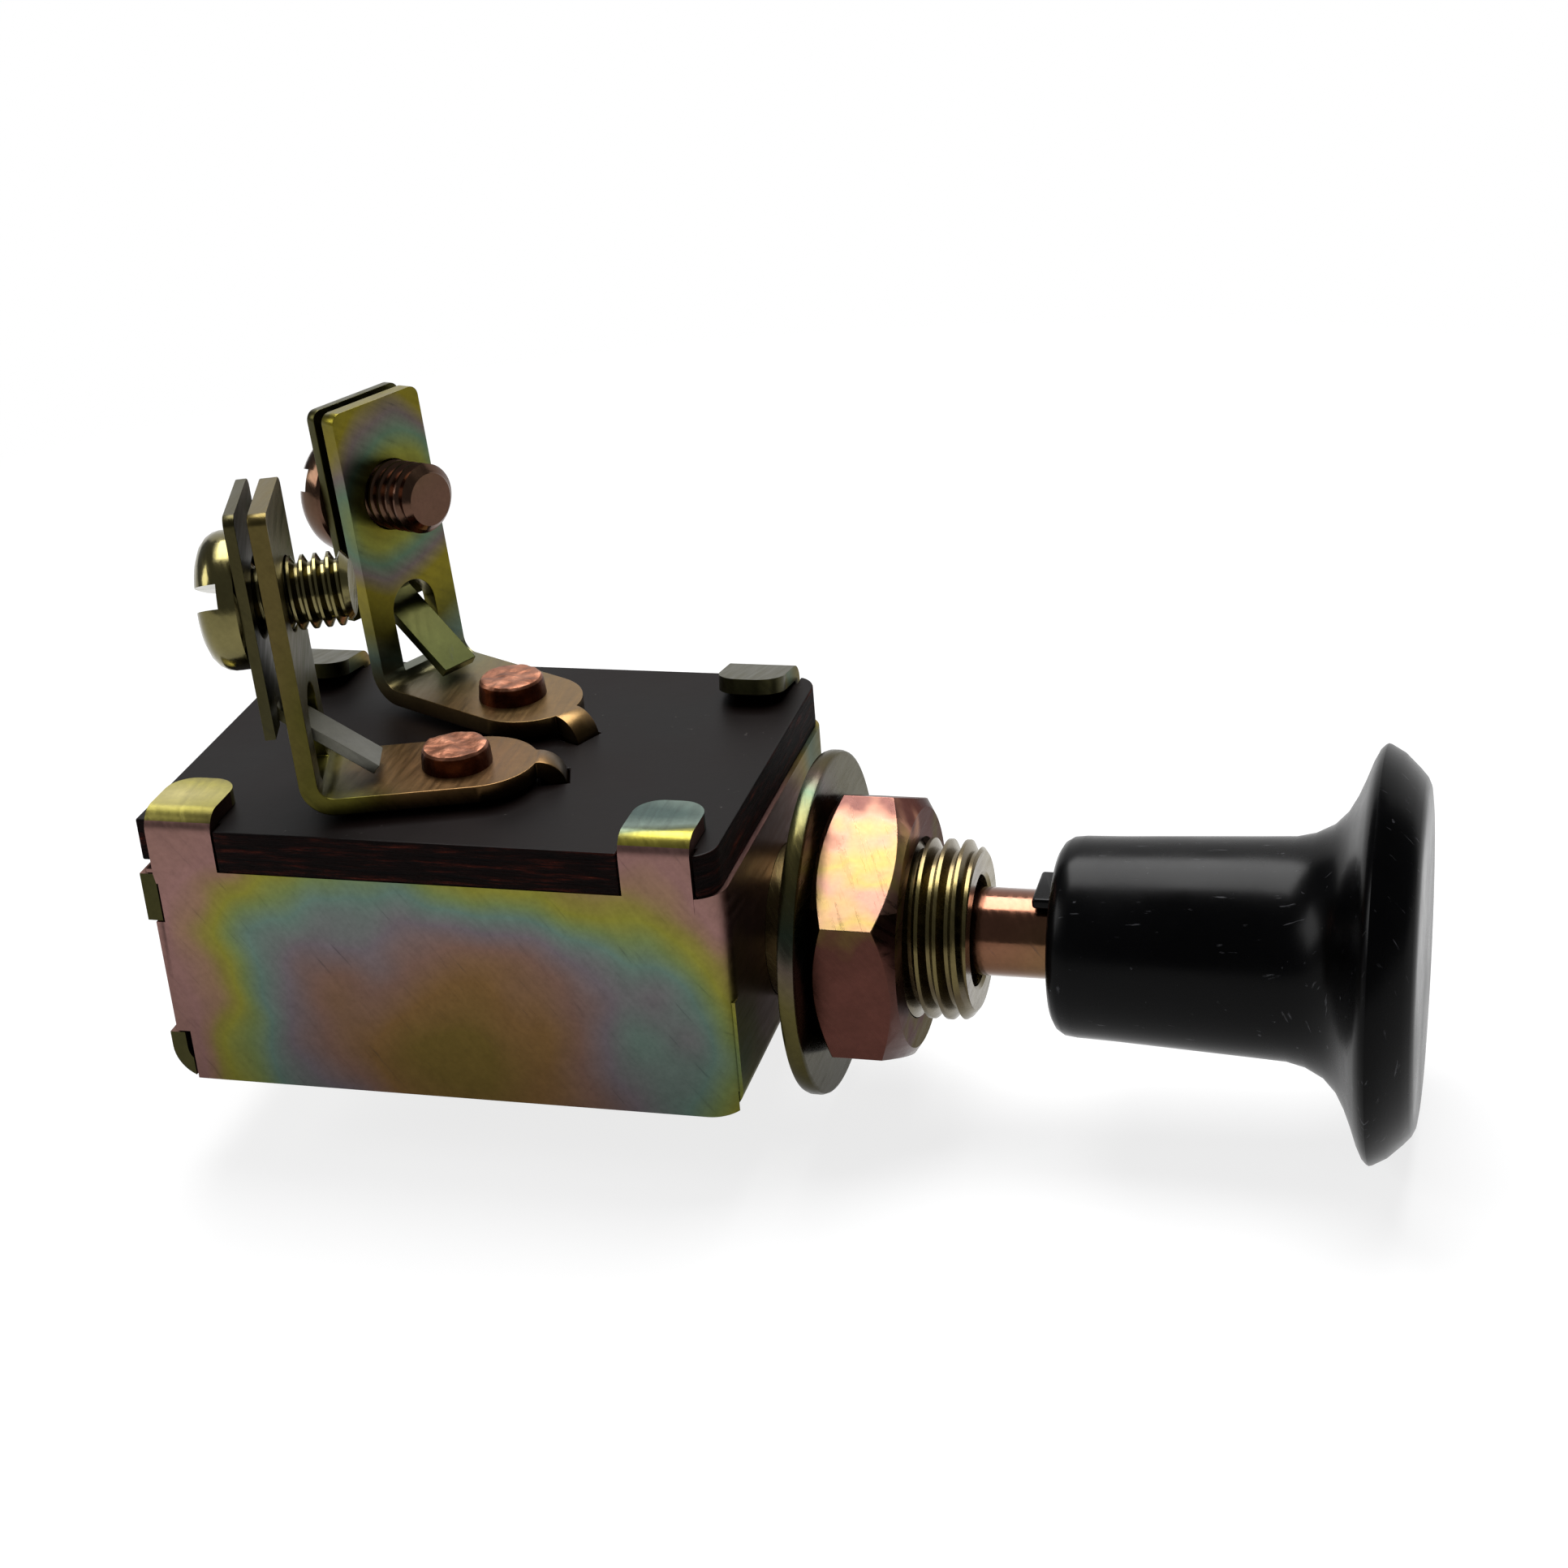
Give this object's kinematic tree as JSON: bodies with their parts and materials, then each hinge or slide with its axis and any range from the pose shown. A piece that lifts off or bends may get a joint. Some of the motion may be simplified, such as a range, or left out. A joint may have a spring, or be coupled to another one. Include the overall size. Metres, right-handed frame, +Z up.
{
  "type": "push-pull light switch",
  "caption": "Push-pull panel switch: folded plated case under a laminate board with screw terminals, a threaded bushing with nut and washer, and a shaft with a flared black pull knob.",
  "frame": {"origin": "on the shaft's axis in the case's front face, which lies against the panel", "axes": "+X along the shaft towards the knob, +Z up through the terminal board, +Y to the left of the shaft seen from behind the case"},
  "size_m": [0.0685, 0.0248, 0.0387],
  "materials": {
    "zinc_steel": "satin yellow zinc plate with pink and teal sheen",
    "laminate": "satin charcoal laminate with red-brown cut edges",
    "zinc_brass": "satin, plated",
    "copper": "hammered bright copper",
    "zinc_plate": "satin",
    "zinc_screw": "polished plate",
    "bushing_metal": "satin",
    "washer_metal": "satin yellow zinc plate",
    "nut_metal": "satin yellow zinc plate",
    "shaft_metal": "polished plate",
    "black_plastic": "semi-gloss, lightly scratched",
    "brown_plastic": "moulded phenolic",
    "spring_steel": "drawn wire"
  },
  "bodies": {
    "base": {"case": "zinc_steel", "terminal_board": "laminate", "near_terminal": "zinc_brass", "far_terminal": "zinc_brass", "near_rivet": "copper", "far_rivet": "copper", "bushing": "bushing_metal"},
    "plunger": {"shaft": "shaft_metal", "knob": "black_plastic", "carriage": "brown_plastic", "retaining_ring": "spring_steel", "contact_spring": "spring_steel", "detent_spring": "spring_steel"},
    "bridge": {"contact_bridge": "copper"},
    "detent": {"detent_ball": "spring_steel"},
    "near_clamp": {"near_clamp_plate": "zinc_plate"},
    "near_screw": {"near_terminal_screw": "zinc_screw"},
    "far_clamp": {"far_clamp_plate": "zinc_plate"},
    "far_screw": {"far_terminal_screw": "zinc_screw"},
    "washer": {"mounting_washer": "washer_metal"},
    "nut": {"mounting_nut": "nut_metal"}
  },
  "joints": [
    {"name": "plunger_slide", "type": "slide", "parent": "base", "child": "plunger", "axis": [1, 0, 0], "range_m": [0, 0.008]},
    {"name": "bridge_press", "type": "slide", "parent": "plunger", "child": "bridge", "axis": [0, 0, -1], "range_m": [0, 0.0005], "stiffness_N_per_m": 1500, "springref_m": -0.001, "deforming": ["contact_spring"]},
    {"name": "detent_press", "type": "slide", "parent": "plunger", "child": "detent", "axis": [0, 0, 1], "range_m": [0, 0.0005], "stiffness_N_per_m": 2000, "springref_m": -0.001, "deforming": ["detent_spring"]},
    {"name": "near_clamp_slide", "type": "slide", "parent": "base", "child": "near_clamp", "axis": [-0.9529, -0.3023, -0.0262], "range_m": [-0.0005, 0.0015]},
    {"name": "near_screw_turn", "type": "hinge", "parent": "near_clamp", "child": "near_screw", "pos_m": [-0.02466, -0.00712, 0.02185], "axis": [-0.9529, -0.3023, -0.0262], "range_deg": [-257.2, 771.5]},
    {"name": "far_clamp_slide", "type": "slide", "parent": "base", "child": "far_clamp", "axis": [-0.896, 0.437, -0.0785], "range_m": [-0.0005, 0.0015]},
    {"name": "far_screw_turn", "type": "hinge", "parent": "far_clamp", "child": "far_screw", "pos_m": [-0.02474, 0.00855, 0.02181], "axis": [-0.896, 0.437, -0.0785], "range_deg": [-257.2, 771.5]},
    {"name": "washer_slide", "type": "slide", "parent": "base", "child": "washer", "axis": [-1, 0, 0], "range_m": [0, 0.0019]},
    {"name": "nut_turn", "type": "hinge", "parent": "washer", "child": "nut", "pos_m": [0, 0, 0], "axis": [-1, 0, 0], "range_deg": [0, 684.1]}
  ],
  "couplings": [
    {"joint": "near_screw_turn", "follows": "near_clamp_slide", "rad_per_m": 8976},
    {"joint": "far_screw_turn", "follows": "far_clamp_slide", "rad_per_m": 8976},
    {"joint": "nut_turn", "follows": "washer_slide", "rad_per_m": 6283.2}
  ]
}
